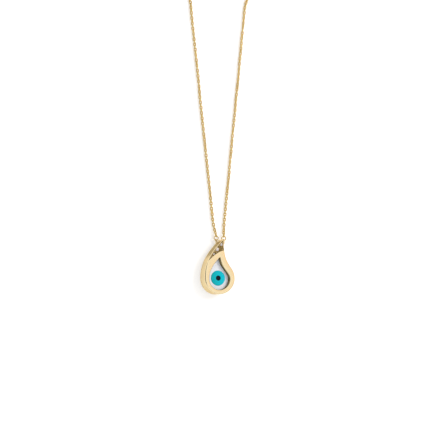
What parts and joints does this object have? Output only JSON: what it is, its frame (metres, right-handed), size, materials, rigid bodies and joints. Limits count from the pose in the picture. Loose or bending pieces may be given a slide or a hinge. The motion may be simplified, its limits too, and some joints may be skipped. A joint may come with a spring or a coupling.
{
  "type": "evil eye pendant necklace",
  "caption": "Drop-shaped gold pendant with a turquoise evil eye on pearl, three small stones and a fine cable chain with a spring-ring clasp.",
  "frame": {"origin": "middle of the drop's footprint, on the surface that its back rests on", "axes": "+X to the right of the drop's face, +Y from its round end to its tip and on towards the chain, +Z the normal of its face"},
  "size_m": [0.0257, 0.1024, 0.0037],
  "materials": {
    "polished_gold": "polished pale yellow gold, soft edges",
    "fittings_gold": "polished gold wire and tube",
    "chain_gold": "polished fine cable links",
    "cement": "matt setting cement",
    "mother_of_pearl": "polished nacre with a bluish sheen",
    "turquoise_enamel": "glossy turquoise enamel",
    "onyx": "polished near-black stone",
    "clear_stone": "brilliant-cut clear stone",
    "thread": "flat cotton tie",
    "spring_steel": "bright spring wire"
  },
  "bodies": {
    "chain": {"left_jump_ring": "fittings_gold", "right_jump_ring": "fittings_gold", "left_chain": "chain_gold", "right_chain": "chain_gold", "left_chain_coil": "chain_gold", "right_chain_coil": "chain_gold", "left_coil_tie": "thread", "right_coil_tie": "thread", "clasp_link_ring": "fittings_gold", "catch_link_ring": "fittings_gold"},
    "drop": {"drop_frame": "polished_gold", "back_plate": "polished_gold", "cement_bed": "cement", "pearl_inlay": "mother_of_pearl", "iris_disc": "turquoise_enamel", "pupil_stone": "onyx", "stone_plate": "polished_gold", "top_stone": "clear_stone", "middle_stone": "clear_stone", "lowest_stone": "clear_stone", "setting_grains": "polished_gold", "left_eye": "polished_gold", "right_eye": "polished_gold"},
    "clasp": {"clasp_tube": "fittings_gold", "clasp_eye": "fittings_gold", "clasp_spring": "spring_steel"},
    "trigger": {"clasp_trigger": "fittings_gold"},
    "catch": {"catch_ring": "fittings_gold"}
  },
  "joints": [
    {"name": "drop_swing", "type": "hinge", "parent": "chain", "child": "drop", "pos_m": [0.00111, 0.00735, 0.0009], "axis": [-1, 0, 0], "range_deg": [0, 90]},
    {"name": "clasp_swivel", "type": "hinge", "parent": "chain", "child": "clasp", "pos_m": [-0.00155, 0.0916, 0.0006], "axis": [0, 0, 1], "range_deg": [-30, 30]},
    {"name": "trigger_turn", "type": "hinge", "parent": "clasp", "child": "trigger", "pos_m": [0.0018, 0.0916, 0.0006], "axis": [0, 0, 1], "range_deg": [0, 42], "stiffness_Nm_per_rad": 0.001, "springref_deg": -11.46, "deforming": ["clasp_spring"]},
    {"name": "catch_swivel", "type": "hinge", "parent": "chain", "child": "catch", "pos_m": [0.008, 0.09141, 0.00055], "axis": [0, 0, 1], "range_deg": [-35, 35]}
  ]
}
